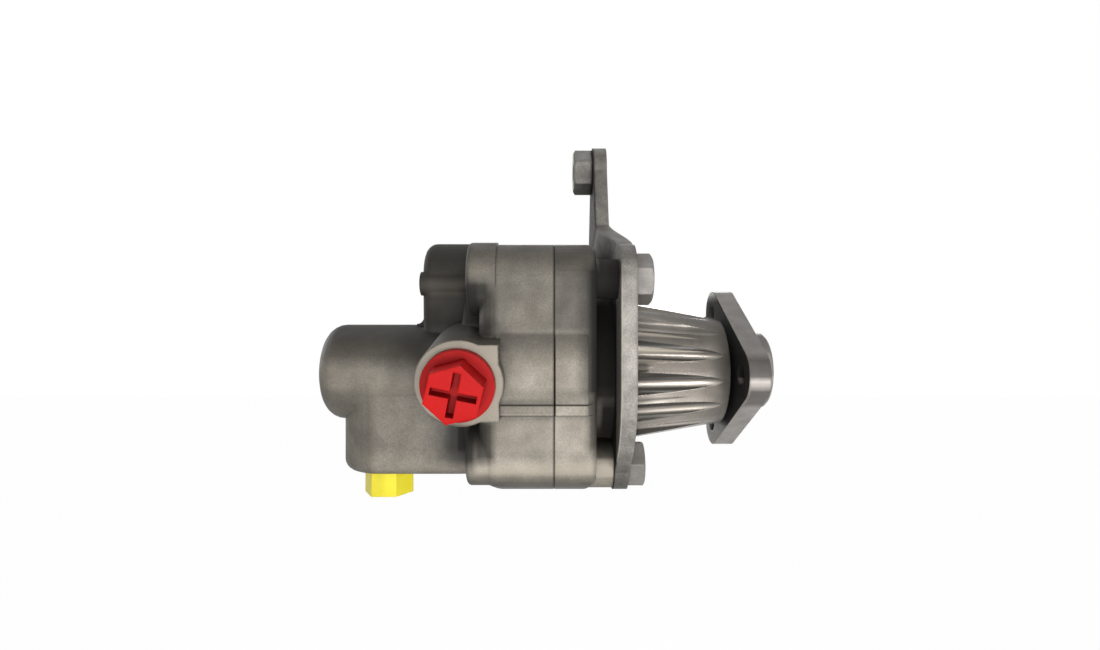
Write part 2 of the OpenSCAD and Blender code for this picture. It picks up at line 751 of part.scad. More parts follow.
// Inner ring of the ball bearing
module bearing_inner_ring() {
    color([0.78, 0.78, 0.80]) difference() {
        ring(x_bearing_back, x_bearing, shaft_r, shaft_r + race_wall);
        ball_groove();
    }
}

// Places a drawing at each ball
module at_balls() {
    for (i = [0:ball_count - 1]) rotate([360 * i / ball_count, 0, 0])
        translate([x_bearing - bearing_w / 2, 0, ball_circle_r]) children();
}

// Balls of the bearing
module bearing_balls() {
    color([0.85, 0.85, 0.87]) at_balls() sphere(r = ball_r);
}

// Cage that spaces the balls
module bearing_cage() {
    cage_t = 0.5;
    cage_w = 2 * ball_r + 1.2;
    mid = x_bearing - bearing_w / 2;
    color([0.72, 0.66, 0.42]) difference() {
        ring(mid - cage_w / 2, mid + cage_w / 2, ball_circle_r - cage_t, ball_circle_r + cage_t);
        at_balls() translate([0, 0, -3 * cage_t]) cylinder(h = 6 * cage_t, r = ball_r + run_gap);
    }
}

// Snap ring, drawn in Y and Z, with a gap at its foot
module snap_ring(x0, inner, outer, gap) {
    difference() {
        ring(x0, x0 + circlip_t, inner, outer);
        translate([x0 - 1, -gap / 2, -outer - 1]) cube([circlip_t + 2, gap, outer]);
    }
}

// Circlip that holds the bearing in the front housing
module bearing_circlip() {
    color([0.30, 0.30, 0.32])
        snap_ring(x_bearing_back - circlip_t, bearing_r - race_wall + 0.2, bearing_r + circlip_depth, 8);
}

// Circlip on the shaft in front of the bearing
module shaft_circlip() {
    color([0.30, 0.30, 0.32])
        snap_ring(x_bearing, shaft_r - circlip_depth, shaft_r + race_wall - 0.6, 5);
}

// Lip seal with its stiff case, pressed into the nose
module shaft_seal() {
    lip_r = shaft_r + run_gap;
    wall = 1.6;
    color([0.16, 0.15, 0.15]) turned() polygon([
        [seal_r, x_seal_back],
        [seal_r, x_seal],
        [lip_r + 1.8, x_seal],
        [lip_r, x_seal - 0.8],
        [lip_r, x_seal - 1.2],
        [lip_r + 0.4, x_seal_back + 1.5],
        [lip_r + 2.4, x_seal_back + 1.5],
        [lip_r + 2.4, x_seal - wall],
        [seal_r - wall, x_seal - wall],
        [seal_r - wall, x_seal_back],
    ]);
}

// One curved port slot through a plate, to be cut
module kidney(x0, x1, r, width, from, to) {
    translate([x0, 0, 0]) rotate([0, 90, 0]) rotate([0, 0, from]) rotate_extrude(angle = to - from)
        translate([r, (x1 - x0) / 2]) square([width, x1 - x0], center = true);
}

// Front side plate with the hub that carries the bush
module front_side_plate() {
    port_r = (cam_small_r + cam_large_r) / 2 - 2;
    color([0.58, 0.57, 0.56]) difference() {
        union() {
            bar(x_joint, x_side, pack_r);
            bar(x_side, x_bush, bush_hub_r);
        }
        bar(x_joint - 1, x_bush + 1, shaft_r + bush_wall);
        for (a = [20, 200]) kidney(x_joint - 1, x_joint + 2, port_r, 3.6, a, a + 50);
        for (s = [-1, 1])
            bar(x_joint - 1, x_joint + 3, dowel_r + seat_gap, [0, s * dowel_circle_r]);
    }
}

// Plain bush beside the rotor
module plain_bush() {
    color([0.72, 0.55, 0.30]) ring(x_joint + 1, x_bush, shaft_r + run_gap, shaft_r + bush_wall);
}

// Radius of the oval bore at an angle from Y: large along Y, small along Z
function cam_r(a) = (cam_large_r + cam_small_r) / 2 + (cam_large_r - cam_small_r) / 2 * cos(2 * a);

// Cam ring with its oval bore
module cam_ring() {
    bore_points = 96;
    color([0.48, 0.48, 0.50]) difference() {
        bar(x_cam_back, x_joint, pack_r);
        slab(x_cam_back - 1, x_joint + 1) polygon([for (i = [0:bore_points - 1])
            let (a = 360 * i / bore_points) cam_r(a) * [cos(a), sin(a)]]);
        for (s = [-1, 1])
            bar(x_cam_back - 1, x_joint + 1, dowel_r + seat_gap, [0, s * dowel_circle_r]);
    }
}

// Angle of a vane from Y, in the plane of Y and Z
function vane_angle(i) = 360 * (i - 1) / vane_count;

// Rotor with a slot for each vane
module rotor() {
    slot_t = vane_t + 2 * slot_gap;
    foot_hole_r = slot_t * 0.75;
    color([0.52, 0.52, 0.54]) difference() {
        bar(x_cam_back + vane_side_gap, x_joint - vane_side_gap, rotor_r);
        slab(x_cam_back - 1, x_joint + 1) spline_outline(seat_gap / 2);
        for (i = [1:vane_count]) rotate([vane_angle(i), 0, 0]) {
            translate([x_cam_back - 1, slot_foot_r, -slot_t / 2])
                cube([cam_w + 2, rotor_r, slot_t]);
            bar(x_cam_back - 1, x_joint + 1, foot_hole_r, [slot_foot_r, 0]);
        }
    }
}

// One vane in its slot, its tip rounded to follow the ring
module vane(i) {
    tip_round = 2;
    width = cam_w - 2 * vane_side_gap;
    color([0.80, 0.80, 0.82]) rotate([vane_angle(i), 0, 0])
        translate([x_cam_back + vane_side_gap, 0, -vane_t / 2]) {
            translate([0, vane_foot_r, 0]) cube([width, vane_h - tip_round, vane_t]);
            intersection() {
                translate([0, vane_tip_r - 1.5 * tip_round, 0]) cube([width, 2 * tip_round, vane_t]);
                bar(0, width, tip_round, [vane_tip_r - tip_round, vane_t / 2]);
            }
        }
}

// Circlip that holds the rotor on the shaft
module rotor_circlip() {
    color([0.30, 0.30, 0.32])
        snap_ring(x_rotor_clip, spline_root_r - circlip_depth, spline_r + 1, 4);
}

// Pressure plate behind the rotor with outlet slots
module pressure_plate() {
    port_r = (cam_small_r + cam_large_r) / 2 - 2;
    color([0.58, 0.57, 0.56]) difference() {
        bar(x_press_back, x_cam_back, pack_r);
        bar(x_press_back - 1, x_cam_back + 1, shaft_r + 2.5);
        for (a = [110, 290]) kidney(x_press_back - 1, x_cam_back + 1, port_r, 3.6, a, a + 45);
        for (s = [-1, 1])
            bar(x_press_back - 1, x_cam_back + 1, dowel_r + seat_gap, [0, s * dowel_circle_r]);
    }
}

// Disc spring that presses the pack together
module disc_spring() {
    t = 0.9;
    inner = cavity_r - 8;
    outer = cavity_r - 1;
    color([0.40, 0.40, 0.42]) turned() polygon([
        [outer, x_cavity],
        [outer, x_cavity + t],
        [inner, x_press_back],
        [inner, x_press_back - t],
    ]);
}

// Dowel pins that line up the plates and the ring
module dowel_pins() {
    color([0.75, 0.75, 0.77]) for (s = [-1, 1])
        bar(x_press_back + 0.5, x_joint + 2.5, dowel_r, [0, s * dowel_circle_r]);
}

// Seal ring between the housings, squeezed flat on the joint
module housing_seal_ring() {
    color([0.12, 0.12, 0.12]) turned() translate([seal_ring_circle_r - seal_ring_r, x_joint])
        square([2 * seal_ring_r, seal_ring_r]);
}

// Flow valve spool with two lands, a waist and its relief bore
module valve_spool() {
    waist_r = spool_r - 2.5;
    land = 7;
    pilot_r = 1.2;
    at = [valve_y, valve_z];
    color([0.74, 0.74, 0.76]) difference() {
        union() {
            bar(x_spool - land, x_spool, spool_r, at);
            bar(x_spool_back, x_spool_back + land + spring_pocket - 4, spool_r, at);
            bar(x_spool_back + 1, x_spool - 1, waist_r, at);
        }
        bar(x_spool_back - 1, x_spool_back + spring_pocket, spool_r - 1.5, at);
        bar(x_relief_ball - relief_ball_r - relief_spring_len, x_spool + 1, relief_bore_r, at);
        bar(x_spool_back - 1, x_spool - land, pilot_r, at);
    }
}

// Spring behind the spool
module valve_spring() {
    color([0.55, 0.55, 0.58]) coil(x_bore_end, x_spool_back + spring_pocket,
        spool_r - 1.5 - valve_wire_r - 0.4, valve_wire_r, 6, [valve_y, valve_z]);
}

// Stop ring at the mouth of the valve's bore
module valve_stop_ring() {
    color([0.30, 0.30, 0.32])
        ring(x_stop_back, x_stop_back + stop_t, valve_bore_r - 2, valve_bore_r + stop_lip,
            [valve_y, valve_z]);
}

// Ball of the relief valve
module relief_ball() {
    color([0.85, 0.85, 0.87]) translate([x_relief_ball, valve_y, valve_z]) sphere(r = relief_ball_r);
}

// Spring of the relief valve
module relief_spring() {
    wire_r = 0.4;
    color([0.55, 0.55, 0.58]) coil(x_relief_ball - relief_ball_r - relief_spring_len,
        x_relief_ball - relief_ball_r - 0.1, relief_bore_r - wire_r - 0.4, wire_r, 4,
        [valve_y, valve_z], 10);
}

// Seat of the relief valve, screwed into the spool
module relief_seat() {
    drill_r = 1;
    color([0.70, 0.58, 0.32])
        ring(x_relief_seat - relief_seat_len, x_relief_seat, drill_r, relief_bore_r, [valve_y, valve_z]);
}

// Red transport plug in the inlet: flange, hexagon with a cross slot, and shank
module inlet_plug() {
    flange_t = 2.4;
    head_af = 14;
    head_turn = 15;
    slot_turn = -12;
    slot_w = 2;
    slot_len = 12;
    slot_depth = 3.5;
    shank_len = 9;
    color([0.86, 0.16, 0.16]) at_inlet() difference() {
        union() {
            cylinder(h = flange_t, r = inlet_flange_r);
            rotate([0, 0, head_turn]) cylinder(h = inlet_head_h, r = corner_r(head_af), $fn = 6);
            translate([0, 0, -shank_len]) cylinder(h = shank_len, r = inlet_bore_r - seat_gap);
        }
        for (a = [slot_turn, slot_turn + 90]) rotate([0, 0, a])
            translate([-slot_len / 2, -slot_w / 2, inlet_head_h - slot_depth])
                cube([slot_len, slot_w, slot_depth + 1]);
    }
}

// Yellow transport plug in the outlet: hexagon and shank
module outlet_plug() {
    shank_len = 10;
    color([0.95, 0.88, 0.25]) at_outlet() {
        cylinder(h = outlet_head_h, r = corner_r(outlet_plug_af), $fn = 6);
        translate([0, 0, -shank_len]) cylinder(h = shank_len, r = outlet_bore_r - seat_gap);
    }
}

front_housing();
rear_housing();
mounting_bracket();
arm_nut();
upper_bolt();
short_bolts();
housing_screws();
drive_hub();
drive_shaft();
bearing_outer_ring();
bearing_inner_ring();
bearing_balls();
bearing_cage();
bearing_circlip();
shaft_circlip();
shaft_seal();
front_side_plate();
plain_bush();
cam_ring();
rotor();
rotor_circlip();
pressure_plate();
disc_spring();
dowel_pins();
housing_seal_ring();
valve_spool();
valve_spring();
valve_stop_ring();
relief_ball();
relief_spring();
relief_seat();
inlet_plug();
outlet_plug();
for (i = [1:vane_count])
    vane(i);
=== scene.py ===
"""Dresses the power steering pump: its finishes, the spring of its valve, the studio and the camera."""
import json
import math

import bpy
import numpy as np
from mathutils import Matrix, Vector


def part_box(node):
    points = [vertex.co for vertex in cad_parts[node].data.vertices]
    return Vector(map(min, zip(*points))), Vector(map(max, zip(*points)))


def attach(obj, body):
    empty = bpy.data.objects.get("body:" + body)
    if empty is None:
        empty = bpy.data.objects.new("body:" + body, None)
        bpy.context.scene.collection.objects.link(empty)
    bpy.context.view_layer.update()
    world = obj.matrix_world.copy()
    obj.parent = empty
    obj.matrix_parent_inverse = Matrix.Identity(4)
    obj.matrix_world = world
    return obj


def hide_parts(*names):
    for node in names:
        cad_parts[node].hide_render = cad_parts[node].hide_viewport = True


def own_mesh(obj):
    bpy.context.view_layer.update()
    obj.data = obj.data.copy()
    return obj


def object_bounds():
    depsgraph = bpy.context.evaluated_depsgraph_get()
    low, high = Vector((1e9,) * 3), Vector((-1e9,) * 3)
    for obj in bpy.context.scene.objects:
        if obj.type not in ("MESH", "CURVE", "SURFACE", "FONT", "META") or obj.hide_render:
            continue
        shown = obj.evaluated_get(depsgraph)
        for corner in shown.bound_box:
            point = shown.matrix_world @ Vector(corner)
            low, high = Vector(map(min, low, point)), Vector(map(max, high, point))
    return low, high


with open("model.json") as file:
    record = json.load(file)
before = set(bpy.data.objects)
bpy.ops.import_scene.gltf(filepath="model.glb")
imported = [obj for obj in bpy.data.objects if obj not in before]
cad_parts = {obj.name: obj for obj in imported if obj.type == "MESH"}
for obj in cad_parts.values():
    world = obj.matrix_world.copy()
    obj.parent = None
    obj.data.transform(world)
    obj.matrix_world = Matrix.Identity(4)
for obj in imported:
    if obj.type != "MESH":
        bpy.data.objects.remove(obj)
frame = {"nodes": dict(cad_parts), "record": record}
cad_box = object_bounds()

MM = 0.001

# Farther than any part of the pump, in metres
FAR = 1.0

# The bracket's plate along the shaft
PLATE_THICKNESS = 4.5 * MM
X_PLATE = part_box("mounting_bracket")[1][0]
X_PLATE_BACK = X_PLATE - PLATE_THICKNESS

# The camera that took the photograph, in the pump's frame and in pixels of the photograph
PHOTO_W = 1100
FOCAL_PX = 605
SENSOR_MM = 36.0
CAMERA_AT = Vector((-64.2, -205.0, 15.25)) * MM


def link(tree, a, b):
    """Joins an output socket to an input socket."""
    tree.links.new(a, b)


def feed(tree, socket, value):
    """Gives an input socket a number, or joins it to an output socket."""
    if isinstance(value, (int, float)):
        socket.default_value = value
    else:
        link(tree, value, socket)


def add(tree, kind, **values):
    """Adds a node and sets its plain properties."""
    node = tree.nodes.new(kind)
    for key, value in values.items():
        setattr(node, key, value)
    return node


def object_place(tree):
    """A point's place in the pump's own frame, in metres."""
    return add(tree, "ShaderNodeTexCoord").outputs["Object"]


def split(tree, vector):
    """A vector's parts, as a node with the outputs X, Y and Z."""
    node = add(tree, "ShaderNodeSeparateXYZ")
    link(tree, vector, node.inputs["Vector"])
    return node


def noise(tree, vector, scale, detail=3.0, roughness=0.55):
    """A noise texture on a vector, in cycles a metre."""
    node = add(tree, "ShaderNodeTexNoise")
    feed(tree, node.inputs["Scale"], scale)
    node.inputs["Detail"].default_value = detail
    node.inputs["Roughness"].default_value = roughness
    link(tree, vector, node.inputs["Vector"])
    return node.outputs["Fac"]


def math_node(tree, operation, a, b=None, clamp=False):
    """One sum of two sockets or numbers."""
    node = add(tree, "ShaderNodeMath", operation=operation, use_clamp=clamp)
    feed(tree, node.inputs[0], a)
    if b is not None:
        feed(tree, node.inputs[1], b)
    return node.outputs[0]


def times(tree, *factors):
    """The product of several sockets or numbers."""
    product = factors[0]
    for factor in factors[1:]:
        product = math_node(tree, "MULTIPLY", product, factor)
    return product


def vector_math(tree, operation, a, b=None):
    """One sum of two vectors; the second may be a plain tuple."""
    node = add(tree, "ShaderNodeVectorMath", operation=operation)
    link(tree, a, node.inputs[0])
    if isinstance(b, tuple):
        node.inputs[1].default_value = b
    elif b is not None:
        link(tree, b, node.inputs[1])
    return node


def ramp(tree, value, low, high, to_low=0.0, to_high=1.0):
    """A value carried from one range to another, held at its ends."""
    node = add(tree, "ShaderNodeMapRange", clamp=True)
    link(tree, value, node.inputs["Value"])
    feed(tree, node.inputs["From Min"], low)
    feed(tree, node.inputs["From Max"], high)
    node.inputs["To Min"].default_value = to_low
    node.inputs["To Max"].default_value = to_high
    return node.outputs["Result"]


def mix_colour(tree, factor, a, b):
    """Two colours mixed by a mask."""
    node = add(tree, "ShaderNodeMix", data_type="RGBA")
    link(tree, factor, node.inputs["Factor"])
    for socket, value in ((node.inputs[6], a), (node.inputs[7], b)):
        if isinstance(value, tuple):
            socket.default_value = (*value, 1.0)
        else:
            link(tree, value, socket)
    return node.outputs[2]


def group(name, inputs, outputs):
    """A new shader node group with its float inputs and typed outputs."""
    tree = bpy.data.node_groups.new(name, "ShaderNodeTree")
    for label, value in inputs:
        socket = tree.interface.new_socket(label, in_out="INPUT", socket_type="NodeSocketFloat")
        socket.default_value = value
    for label, kind in outputs:
        tree.interface.new_socket(label, in_out="OUTPUT", socket_type=kind)
    return tree, tree.nodes.new("NodeGroupInput"), tree.nodes.new("NodeGroupOutput")


# The skin's noise: its roughness, and the part of each noise that a mask is stretched from
SKIN_NOISE = 0.6
MOTTLE_FROM, MOTTLE_TO = 0.3, 0.7
SPECKLE_FROM, SPECKLE_TO = 0.32, 0.68


def make_cast_skin():
    """Sand cast skin: a pitted grain, a broad mottle and a fine speckle, from noise at three scales."""
    tree, given, out = group(
        "cast_skin",
        [("Grain Scale", 1500.0), ("Mottle Scale", 60.0), ("Speckle Scale", 2200.0)],
        [("Height", "NodeSocketFloat"), ("Mottle", "NodeSocketFloat"), ("Speckle", "NodeSocketFloat")],
    )
    place = object_place(tree)
    grain = noise(tree, place, given.outputs["Grain Scale"], 4.0, SKIN_NOISE)
    broad = noise(tree, place, given.outputs["Mottle Scale"], 5.0, SKIN_NOISE)
    fine = noise(tree, place, given.outputs["Speckle Scale"], 3.0, SKIN_NOISE)
    link(tree, grain, out.inputs["Height"])
    link(tree, ramp(tree, broad, MOTTLE_FROM, MOTTLE_TO), out.inputs["Mottle"])
    link(tree, ramp(tree, fine, SPECKLE_FROM, SPECKLE_TO), out.inputs["Speckle"])
    return tree


# How alike the rounded and the true normal are where an edge begins and where it is full
EDGE_BEGINS, EDGE_FULL = 0.97, 0.85
# The noise that breaks up worn edges: its cycles a metre, the part that is stretched and the least share left
EDGE_NOISE = 400.0
EDGE_NOISE_FROM, EDGE_NOISE_TO = 0.35, 0.6
EDGE_LEAST = 0.3


def make_edge_mask():
    """Worn edges: where the rounded normal leaves the true normal, broken up by noise.

    Facing is how squarely the rounded surface faces the pump's near or far side, from 0 to 1. Tilt is how
    far it leans around the shaft, above 0 where it leans up on the near side: the part along the shaft of
    the cross product of the normal and the spoke from the shaft.
    """
    tree, given, out = group(
        "edge_mask",
        [("Radius", 0.0006)],
        [("Mask", "NodeSocketFloat"), ("Normal", "NodeSocketVector"), ("Facing", "NodeSocketFloat"),
         ("Tilt", "NodeSocketFloat")],
    )
    place = object_place(tree)
    bevel = add(tree, "ShaderNodeBevel", samples=6)
    link(tree, given.outputs["Radius"], bevel.inputs["Radius"])
    rounded = bevel.outputs["Normal"]
    true_normal = add(tree, "ShaderNodeNewGeometry").outputs["Normal"]
    alike = vector_math(tree, "DOT_PRODUCT", rounded, true_normal).outputs["Value"]
    broken = ramp(tree, noise(tree, place, EDGE_NOISE), EDGE_NOISE_FROM, EDGE_NOISE_TO, EDGE_LEAST, 1.0)
    edge = ramp(tree, alike, EDGE_BEGINS, EDGE_FULL)
    link(tree, times(tree, edge, broken), out.inputs["Mask"])
    link(tree, rounded, out.inputs["Normal"])

    own = add(tree, "ShaderNodeVectorTransform", vector_type="NORMAL",
              convert_from="WORLD", convert_to="OBJECT")
    link(tree, rounded, own.inputs["Vector"])
    across = split(tree, own.outputs["Vector"]).outputs["Y"]
    link(tree, math_node(tree, "ABSOLUTE", across), out.inputs["Facing"])
    spoke = vector_math(tree, "MULTIPLY", place, (0.0, 1.0, 1.0)).outputs["Vector"]
    outward = vector_math(tree, "NORMALIZE", spoke).outputs["Vector"]
    around = vector_math(tree, "CROSS_PRODUCT", own.outputs["Vector"], outward).outputs["Vector"]
    link(tree, split(tree, around).outputs["X"], out.inputs["Tilt"])
    return tree


# The noise that makes the painted shade and grime in recesses patchy, in cycles a metre, and the least share
# of it that it leaves
PATCH_NOISE, PATCH_LEAST = 220.0, 0.75


def make_recess_shading():
    """Painted shade and grime in recesses: the share of nearby surface that closes a point in, over a mottle.
    """
    tree, given, out = group(
        "recess_shading",
        [("Reach", 0.012), ("Open", 0.9), ("Closed", 0.25)],
        [("Mask", "NodeSocketFloat")],
    )
    nearby = add(tree, "ShaderNodeAmbientOcclusion", samples=8)
    link(tree, given.outputs["Reach"], nearby.inputs["Distance"])
    closed = ramp(tree, nearby.outputs["AO"], given.outputs["Open"], given.outputs["Closed"])
    patch = ramp(tree, noise(tree, object_place(tree), PATCH_NOISE), MOTTLE_FROM, MOTTLE_TO, PATCH_LEAST, 1.0)
    link(tree, times(tree, closed, patch), out.inputs["Mask"])
    return tree


CAST_SKIN = make_cast_skin()
EDGE_MASK = make_edge_mask()
RECESS_SHADING = make_recess_shading()


def place_group(tree, source, **values):
    """Puts a node group into a material with its own values."""
    node = add(tree, "ShaderNodeGroup")
    node.node_tree = source
    for key, value in values.items():
        node.inputs[key.replace("_", " ").title()].default_value = value
    return node


def new_material(name, metallic, roughness, specular=0.5):
    """A material with one Principled shader, and its tree and shader."""
    material = bpy.data.materials.new(name)
    material.use_nodes = True
    tree = material.node_tree
    shader = tree.nodes["Principled BSDF"]
    shader.inputs["Metallic"].default_value = metallic
    shader.inputs["Roughness"].default_value = roughness
    shader.inputs["Specular IOR Level"].default_value = specular
    return material, tree, shader


def tint(colour, share):
    """A colour made lighter or darker, held under white."""
    return tuple(min(1.0, c * share) for c in colour)


def add_relief(tree, shader, height, normal, strength, distance):
    """A fine bump laid over the softened edges."""
    bump = add(tree, "ShaderNodeBump")
    bump.inputs["Strength"].default_value = strength
    bump.inputs["Distance"].default_value = distance
    link(tree, height, bump.inputs["Height"])
    link(tree, normal, bump.inputs["Normal"])
    link(tree, bump.outputs["Normal"], shader.inputs["Normal"])


def between(low, low_full, high_full, high):
    """A band, given in millimetres, that fades in over its first two places and out over its last two."""
    return low * MM, low_full * MM, high_full * MM, high * MM


def above(low, full):
    """A band, given in millimetres, that fades in over two places and has no upper end."""
    return low * MM, full * MM, FAR, 2 * FAR


def below(full, high):
    """A band, given in millimetres, that has no lower end and fades out over two places."""
    return -2 * FAR, -FAR, full * MM, high * MM


def shading_and_stain(depth, shade, faced=False, **bands):
    """A patch of colour within bands along x, y and z: mostly painted shade and painted light, a few stains.

    depth is how much of it shows, and shade is its colour as a share of the dark colour, above 1 for painted
    light. A faced patch holds only where the surface faces the near or far side.
    """
    return {"depth": depth, "shade": shade, "faced": faced, "bands": bands}


def band_mask(tree, along, low, low_full, high_full, high):
    """A mask that is 1 between two places along an axis of the pump and fades to 0 outside them."""
    return times(tree, ramp(tree, along, low, low_full), ramp(tree, along, high, high_full))


def shading_and_stain_mask(tree, place, bands):
    """The product of a patch's bands."""
    masks = [band_mask(tree, place.outputs[axis.upper()], *limits) for axis, limits in bands.items()]
    return times(tree, *masks)


# A streak's half width at its tip, in degrees, and the length over which it fades there
STREAK_TIP = 0.2
STREAK_FADE = 4 * MM


def streak_mask(tree, place, middle, half_width, tip):
    """A wedge along the nose on its near side: widest at the bracket, narrowing to nothing at its tip.

    It is 1 at its middle angle about the shaft and falls evenly to 0 at its sides.
    """
    near = times(tree, place.outputs["Y"], -1.0)
    angle = math_node(tree, "ARCTAN2", place.outputs["Z"], near)
    off = math_node(tree, "ABSOLUTE", math_node(tree, "SUBTRACT", angle, math.radians(middle)))
    width = ramp(tree, place.outputs["X"], X_PLATE, tip, math.radians(half_width), math.radians(STREAK_TIP))
    inside = math_node(tree, "SUBTRACT", 1.0, math_node(tree, "DIVIDE", off, width), clamp=True)
    length = band_mask(tree, place.outputs["X"], X_PLATE_BACK, X_PLATE, tip - STREAK_FADE, tip)
    return times(tree, inside, length)


# The layers of a metal's skin, as shares of its dark or pale colour: speckle, worn edges, the painted
# highlight on the flutes' lower walls, painted shade where the surface turns away, and painted shade and
# grime in recesses
SPECKLE_SHADE = 0.35
WORN_SHADE = 1.4
LIT_SHADE = 1.9
TURN_SHADE_SHARE = 0.12
RECESS_SHADE_SHARE = 0.06

# A metal's specular level and the strength of its bump
METAL_SPECULAR = 0.3
METAL_BUMP = 0.3
# How far the mottle swings a metal's roughness, and the roughness of a dark patch of painted shade and stain
# at full depth
MOTTLE_ROUGHNESS = 0.06
DARK_PATCH_ROUGHNESS = 0.9

# Facing where the painted shade on surfaces that turn away begins and is full, where it thins again on tops
# and ends, and the share of it left there
TURN_SHADE_BEGINS, TURN_SHADE_FULL = 0.95, 0.3
TOP_FACING, SIDE_FACING, TOP_TURN_SHADE = 0.02, 0.25, 0.3
# Facing where a faced patch begins and is full
FACED_BEGINS, FACED_FULL = 0.90, 0.95

# Tilt of the flutes' upper walls and lower edges, which get painted shade, and of the lower walls between
# them, which get a painted highlight
UPPER_WALL = (-0.03, -0.28)
LOWER_EDGE = (0.26, 0.45)
LIT_BEGINS = (0.0, 0.10)
LIT_ENDS = (0.35, 0.22)
LIT_DEPTH = 0.6
# The most wear at which a wall's painted highlight still shows, and the height over which the walls' painted
# shade ends
LIT_WEAR = 0.2
WALL_HEIGHT = below(10.5, 13.0)
# The share of speckle in front of the bracket
FRONT_SPECKLE = 0.35

# What counts as the near side
NEAR_SIDE = below(-12, 6)


def spot_mask(tree, place, facing, spot, near_only):
    """A patch's mask, limited to the near side and to faced surfaces where that is asked for."""
    mask = shading_and_stain_mask(tree, place, spot["bands"])
    if near_only:
        mask = times(tree, mask, band_mask(tree, place.outputs["Y"], *NEAR_SIDE))
    if spot["faced"]:
        mask = times(tree, mask, ramp(tree, facing, FACED_BEGINS, FACED_FULL))
    return mask


def flute_light_and_shade(tree, place, edge):
    """Masks of the nose's flutes: painted shade on upper walls and lower edges, painted highlights on lower
    walls.
    """
    tilt = edge.outputs["Tilt"]
    shade_on_walls = math_node(tree, "MAXIMUM", ramp(tree, tilt, *UPPER_WALL), ramp(tree, tilt, *LOWER_EDGE))
    shade_on_walls = times(tree, shade_on_walls, band_mask(tree, place.outputs["Z"], *WALL_HEIGHT))
    lit = times(tree, ramp(tree, tilt, *LIT_BEGINS), ramp(tree, tilt, *LIT_ENDS), LIT_DEPTH,
                ramp(tree, edge.outputs["Mask"], 0.0, LIT_WEAR, 1.0, 0.0))
    return shade_on_walls, lit


def metal(name, dark, pale, metallic, roughness, edge_radius=0.0004, pale_edges=0.5, speckle=0.2,
          grain_scale=900.0, mottle_scale=140.0, grain_depth=0.00002, recess_shade=0.85, reach=0.006,
          turn_shade=0.35, front=None, shadings_and_stains=(), streaks=(), near_only=False):
    """A metal's skin: mottled and speckled colour, paler worn edges, painted shade and grime in recesses and
    a fine bump.

    turn_shade is painted shade on what curves away from the near and far sides. front gives the finish of
    what lies in front of the bracket, with painted shade and painted highlights on its flutes' walls.
    near_only keeps the patches of painted shade, painted light and stain to the near side.
    """
    material, tree, shader = new_material(name, metallic, roughness, METAL_SPECULAR)
    place = split(tree, object_place(tree))
    skin = place_group(tree, CAST_SKIN, grain_scale=grain_scale, mottle_scale=mottle_scale)
    edge = place_group(tree, EDGE_MASK, radius=edge_radius)
    recess = place_group(tree, RECESS_SHADING, reach=reach)
    mottle, facing = skin.outputs["Mottle"], edge.outputs["Facing"]

    colour = mix_colour(tree, mottle, dark, pale)
    rough = ramp(tree, mottle, 0.0, 1.0, roughness + MOTTLE_ROUGHNESS, roughness - MOTTLE_ROUGHNESS)
    fine = times(tree, skin.outputs["Speckle"], speckle)
    rubbed = times(tree, edge.outputs["Mask"], pale_edges)
    turned = times(tree, ramp(tree, facing, TURN_SHADE_BEGINS, TURN_SHADE_FULL, 0.0, turn_shade),
                   ramp(tree, facing, TOP_FACING, SIDE_FACING, TOP_TURN_SHADE, 1.0))
    if front:
        ahead = band_mask(tree, place.outputs["X"], X_PLATE_BACK, X_PLATE, FAR, 2 * FAR)
        colour = mix_colour(tree, ahead, colour, mix_colour(tree, mottle, front["dark"], front["pale"]))
        link(tree, ramp(tree, ahead, 0.0, 1.0, metallic, front["metallic"]), shader.inputs["Metallic"])
        rough = math_node(tree, "SUBTRACT", rough, times(tree, ahead, roughness - front["roughness"]))
        fine = times(tree, fine, ramp(tree, ahead, 0.0, 1.0, 1.0, FRONT_SPECKLE))
        rubbed = times(tree, rubbed, ramp(tree, ahead, 0.0, 1.0, 1.0, 0.0))
        wall_shading, lit = flute_light_and_shade(tree, place, edge)
        turned = times(tree, turned, ramp(tree, ahead, 0.0, 1.0, 1.0, front["turn_shade_share"]))
        turned = math_node(tree, "MAXIMUM", turned, times(tree, wall_shading, front["wall_shade"], ahead))

    colour = mix_colour(tree, fine, colour, tint(dark, SPECKLE_SHADE))
    colour = mix_colour(tree, rubbed, colour, tint(pale, WORN_SHADE))
    # Painted highlight on the flutes' lower walls
    if front:
        colour = mix_colour(tree, times(tree, lit, ahead), colour, tint(front["pale"], LIT_SHADE))
    # Painted shade where the surface turns away from the near and far sides
    colour = mix_colour(tree, turned, colour, tint(dark, TURN_SHADE_SHARE))
    # Painted shade in recesses, which stands also for grime
    colour = mix_colour(tree, times(tree, recess.outputs["Mask"], recess_shade), colour, tint(dark, RECESS_SHADE_SHARE))

    # Patches of painted shade and painted light, and a few stains; the dark ones also grow rougher
    for spot in shadings_and_stains:
        mask = spot_mask(tree, place, facing, spot, near_only)
        if spot["shade"] < 1.0:
            rough = math_node(tree, "MAXIMUM", rough, times(tree, mask, DARK_PATCH_ROUGHNESS * spot["depth"]))
        colour = mix_colour(tree, times(tree, mask, spot["depth"]), colour, tint(dark, spot["shade"]))
    # Streaks of painted highlight and painted shade along the nose's flutes
    for middle, half_width, tip, depth, shade in streaks:
        mask = times(tree, streak_mask(tree, place, middle, half_width, tip * MM), depth)
        colour = mix_colour(tree, mask, colour, tint(dark, shade))

    link(tree, colour, shader.inputs["Base Color"])
    link(tree, rough, shader.inputs["Roughness"])
    add_relief(tree, shader, skin.outputs["Height"], edge.outputs["Normal"], METAL_BUMP, grain_depth)
    return material


